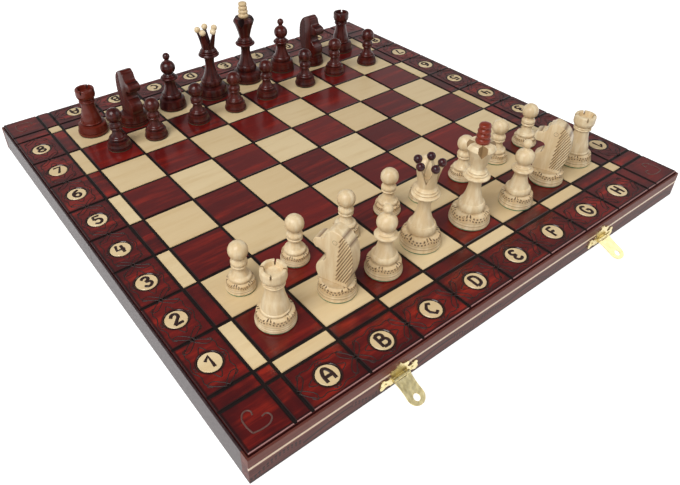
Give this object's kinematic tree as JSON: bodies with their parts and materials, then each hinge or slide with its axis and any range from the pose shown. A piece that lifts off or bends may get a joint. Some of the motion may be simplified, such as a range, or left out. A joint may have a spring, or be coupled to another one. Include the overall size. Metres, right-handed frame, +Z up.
{
  "type": "folding chess box with men",
  "caption": "Wooden chess box that opens flat into an inlaid board, with latches on one long side, compartments under each half and a full set of turned chessmen.",
  "frame": {"origin": "centre of the open board, in the plane of the rims that rest on the table", "axes": "+X from file A to file H, +Y from White's side to Black's side, +Z up"},
  "size_m": [0.54, 0.5712, 0.1364],
  "materials": {
    "pale_turned_wood": "clear satin lacquer",
    "dark_turned_wood": "mahogany stain, gloss lacquer",
    "pale_inlay_wood": "clear satin lacquer",
    "red_stained_wood": "mahogany stain, gloss lacquer",
    "rail_wood": "mahogany stain, gloss lacquer",
    "bare_wood": "planed",
    "felt": "matt",
    "brass": "bright plating"
  },
  "bodies": {
    "front_half": {"front_dark_tiles": "red_stained_wood", "front_dividers": "bare_wood", "front_edge_stripe": "pale_inlay_wood", "front_end_rails": "rail_wood", "front_felt_lining": "felt", "front_hinge_leaves": "brass", "front_hinge_rail": "rail_wood", "front_long_rail": "rail_wood", "front_pale_tiles": "pale_inlay_wood", "front_panel": "red_stained_wood", "front_screws": "brass", "hinge_pins": "brass", "latch_pins": "brass", "latch_plates": "brass"},
    "rear_half": {"latch_keepers": "brass", "rear_dark_tiles": "red_stained_wood", "rear_dividers": "bare_wood", "rear_edge_stripe": "pale_inlay_wood", "rear_end_rails": "rail_wood", "rear_felt_lining": "felt", "rear_hinge_leaves": "brass", "rear_hinge_rail": "rail_wood", "rear_long_rail": "rail_wood", "rear_pale_tiles": "pale_inlay_wood", "rear_panel": "red_stained_wood", "rear_screws": "brass"},
    "left_hasp": {"left_hasp": "brass"},
    "right_hasp": {"right_hasp": "brass"},
    "black_bishop_c8": {"black_bishop_c8": "dark_turned_wood"},
    "black_bishop_f8": {"black_bishop_f8": "dark_turned_wood"},
    "black_king_e8": {"black_king_e8": "dark_turned_wood"},
    "black_knight_b8": {"black_knight_b8": "dark_turned_wood"},
    "black_knight_g8": {"black_knight_g8": "dark_turned_wood"},
    "black_pawn_a7": {"black_pawn_a7": "dark_turned_wood"},
    "black_pawn_b7": {"black_pawn_b7": "dark_turned_wood"},
    "black_pawn_c7": {"black_pawn_c7": "dark_turned_wood"},
    "black_pawn_d7": {"black_pawn_d7": "dark_turned_wood"},
    "black_pawn_e7": {"black_pawn_e7": "dark_turned_wood"},
    "black_pawn_f7": {"black_pawn_f7": "dark_turned_wood"},
    "black_pawn_g7": {"black_pawn_g7": "dark_turned_wood"},
    "black_pawn_h7": {"black_pawn_h7": "dark_turned_wood"},
    "black_queen_d8": {"black_queen_d8": "dark_turned_wood"},
    "black_rook_a8": {"black_rook_a8": "dark_turned_wood"},
    "black_rook_h8": {"black_rook_h8": "dark_turned_wood"},
    "white_bishop_c1": {"white_bishop_c1": "pale_turned_wood"},
    "white_bishop_f1": {"white_bishop_f1": "pale_turned_wood"},
    "white_king_e1": {"white_king_e1": "pale_turned_wood"},
    "white_knight_b1": {"white_knight_b1": "pale_turned_wood"},
    "white_knight_g1": {"white_knight_g1": "pale_turned_wood"},
    "white_pawn_a2": {"white_pawn_a2": "pale_turned_wood"},
    "white_pawn_b2": {"white_pawn_b2": "pale_turned_wood"},
    "white_pawn_c2": {"white_pawn_c2": "pale_turned_wood"},
    "white_pawn_d2": {"white_pawn_d2": "pale_turned_wood"},
    "white_pawn_e2": {"white_pawn_e2": "pale_turned_wood"},
    "white_pawn_f2": {"white_pawn_f2": "pale_turned_wood"},
    "white_pawn_g2": {"white_pawn_g2": "pale_turned_wood"},
    "white_pawn_h2": {"white_pawn_h2": "pale_turned_wood"},
    "white_queen_d1": {"white_queen_d1": "pale_turned_wood"},
    "white_rook_a1": {"white_rook_a1": "pale_turned_wood"},
    "white_rook_h1": {"white_rook_h1": "pale_turned_wood"}
  },
  "joints": [
    {"name": "fold", "type": "hinge", "parent": "front_half", "child": "rear_half", "pos_m": [0, 0, -0.00015], "axis": [-1, 0, 0], "range_deg": [0, 180]},
    {"name": "left_hasp_swing", "type": "hinge", "parent": "front_half", "child": "left_hasp", "pos_m": [-0.13375, -0.273, 0.0105], "axis": [1, 0, 0], "range_deg": [-105, 66.9]},
    {"name": "right_hasp_swing", "type": "hinge", "parent": "front_half", "child": "right_hasp", "pos_m": [0.13375, -0.273, 0.0105], "axis": [1, 0, 0], "range_deg": [-105, 66.9]},
    {"name": "black_bishop_c8_lift", "type": "slide", "parent": "rear_half", "child": "black_bishop_c8", "axis": [0, 0, 1], "range_m": [0, 0.12]},
    {"name": "black_bishop_f8_lift", "type": "slide", "parent": "rear_half", "child": "black_bishop_f8", "axis": [0, 0, 1], "range_m": [0, 0.12]},
    {"name": "black_king_e8_lift", "type": "slide", "parent": "rear_half", "child": "black_king_e8", "axis": [0, 0, 1], "range_m": [0, 0.12]},
    {"name": "black_knight_b8_lift", "type": "slide", "parent": "rear_half", "child": "black_knight_b8", "axis": [0, 0, 1], "range_m": [0, 0.12]},
    {"name": "black_knight_g8_lift", "type": "slide", "parent": "rear_half", "child": "black_knight_g8", "axis": [0, 0, 1], "range_m": [0, 0.12]},
    {"name": "black_pawn_a7_lift", "type": "slide", "parent": "rear_half", "child": "black_pawn_a7", "axis": [0, 0, 1], "range_m": [0, 0.12]},
    {"name": "black_pawn_b7_lift", "type": "slide", "parent": "rear_half", "child": "black_pawn_b7", "axis": [0, 0, 1], "range_m": [0, 0.12]},
    {"name": "black_pawn_c7_lift", "type": "slide", "parent": "rear_half", "child": "black_pawn_c7", "axis": [0, 0, 1], "range_m": [0, 0.12]},
    {"name": "black_pawn_d7_lift", "type": "slide", "parent": "rear_half", "child": "black_pawn_d7", "axis": [0, 0, 1], "range_m": [0, 0.12]},
    {"name": "black_pawn_e7_lift", "type": "slide", "parent": "rear_half", "child": "black_pawn_e7", "axis": [0, 0, 1], "range_m": [0, 0.12]},
    {"name": "black_pawn_f7_lift", "type": "slide", "parent": "rear_half", "child": "black_pawn_f7", "axis": [0, 0, 1], "range_m": [0, 0.12]},
    {"name": "black_pawn_g7_lift", "type": "slide", "parent": "rear_half", "child": "black_pawn_g7", "axis": [0, 0, 1], "range_m": [0, 0.12]},
    {"name": "black_pawn_h7_lift", "type": "slide", "parent": "rear_half", "child": "black_pawn_h7", "axis": [0, 0, 1], "range_m": [0, 0.12]},
    {"name": "black_queen_d8_lift", "type": "slide", "parent": "rear_half", "child": "black_queen_d8", "axis": [0, 0, 1], "range_m": [0, 0.12]},
    {"name": "black_rook_a8_lift", "type": "slide", "parent": "rear_half", "child": "black_rook_a8", "axis": [0, 0, 1], "range_m": [0, 0.12]},
    {"name": "black_rook_h8_lift", "type": "slide", "parent": "rear_half", "child": "black_rook_h8", "axis": [0, 0, 1], "range_m": [0, 0.12]},
    {"name": "white_bishop_c1_lift", "type": "slide", "parent": "front_half", "child": "white_bishop_c1", "axis": [0, 0, 1], "range_m": [0, 0.12]},
    {"name": "white_bishop_f1_lift", "type": "slide", "parent": "front_half", "child": "white_bishop_f1", "axis": [0, 0, 1], "range_m": [0, 0.12]},
    {"name": "white_king_e1_lift", "type": "slide", "parent": "front_half", "child": "white_king_e1", "axis": [0, 0, 1], "range_m": [0, 0.12]},
    {"name": "white_knight_b1_lift", "type": "slide", "parent": "front_half", "child": "white_knight_b1", "axis": [0, 0, 1], "range_m": [0, 0.12]},
    {"name": "white_knight_g1_lift", "type": "slide", "parent": "front_half", "child": "white_knight_g1", "axis": [0, 0, 1], "range_m": [0, 0.12]},
    {"name": "white_pawn_a2_lift", "type": "slide", "parent": "front_half", "child": "white_pawn_a2", "axis": [0, 0, 1], "range_m": [0, 0.12]},
    {"name": "white_pawn_b2_lift", "type": "slide", "parent": "front_half", "child": "white_pawn_b2", "axis": [0, 0, 1], "range_m": [0, 0.12]},
    {"name": "white_pawn_c2_lift", "type": "slide", "parent": "front_half", "child": "white_pawn_c2", "axis": [0, 0, 1], "range_m": [0, 0.12]},
    {"name": "white_pawn_d2_lift", "type": "slide", "parent": "front_half", "child": "white_pawn_d2", "axis": [0, 0, 1], "range_m": [0, 0.12]},
    {"name": "white_pawn_e2_lift", "type": "slide", "parent": "front_half", "child": "white_pawn_e2", "axis": [0, 0, 1], "range_m": [0, 0.12]},
    {"name": "white_pawn_f2_lift", "type": "slide", "parent": "front_half", "child": "white_pawn_f2", "axis": [0, 0, 1], "range_m": [0, 0.12]},
    {"name": "white_pawn_g2_lift", "type": "slide", "parent": "front_half", "child": "white_pawn_g2", "axis": [0, 0, 1], "range_m": [0, 0.12]},
    {"name": "white_pawn_h2_lift", "type": "slide", "parent": "front_half", "child": "white_pawn_h2", "axis": [0, 0, 1], "range_m": [0, 0.12]},
    {"name": "white_queen_d1_lift", "type": "slide", "parent": "front_half", "child": "white_queen_d1", "axis": [0, 0, 1], "range_m": [0, 0.12]},
    {"name": "white_rook_a1_lift", "type": "slide", "parent": "front_half", "child": "white_rook_a1", "axis": [0, 0, 1], "range_m": [0, 0.12]},
    {"name": "white_rook_h1_lift", "type": "slide", "parent": "front_half", "child": "white_rook_h1", "axis": [0, 0, 1], "range_m": [0, 0.12]}
  ]
}
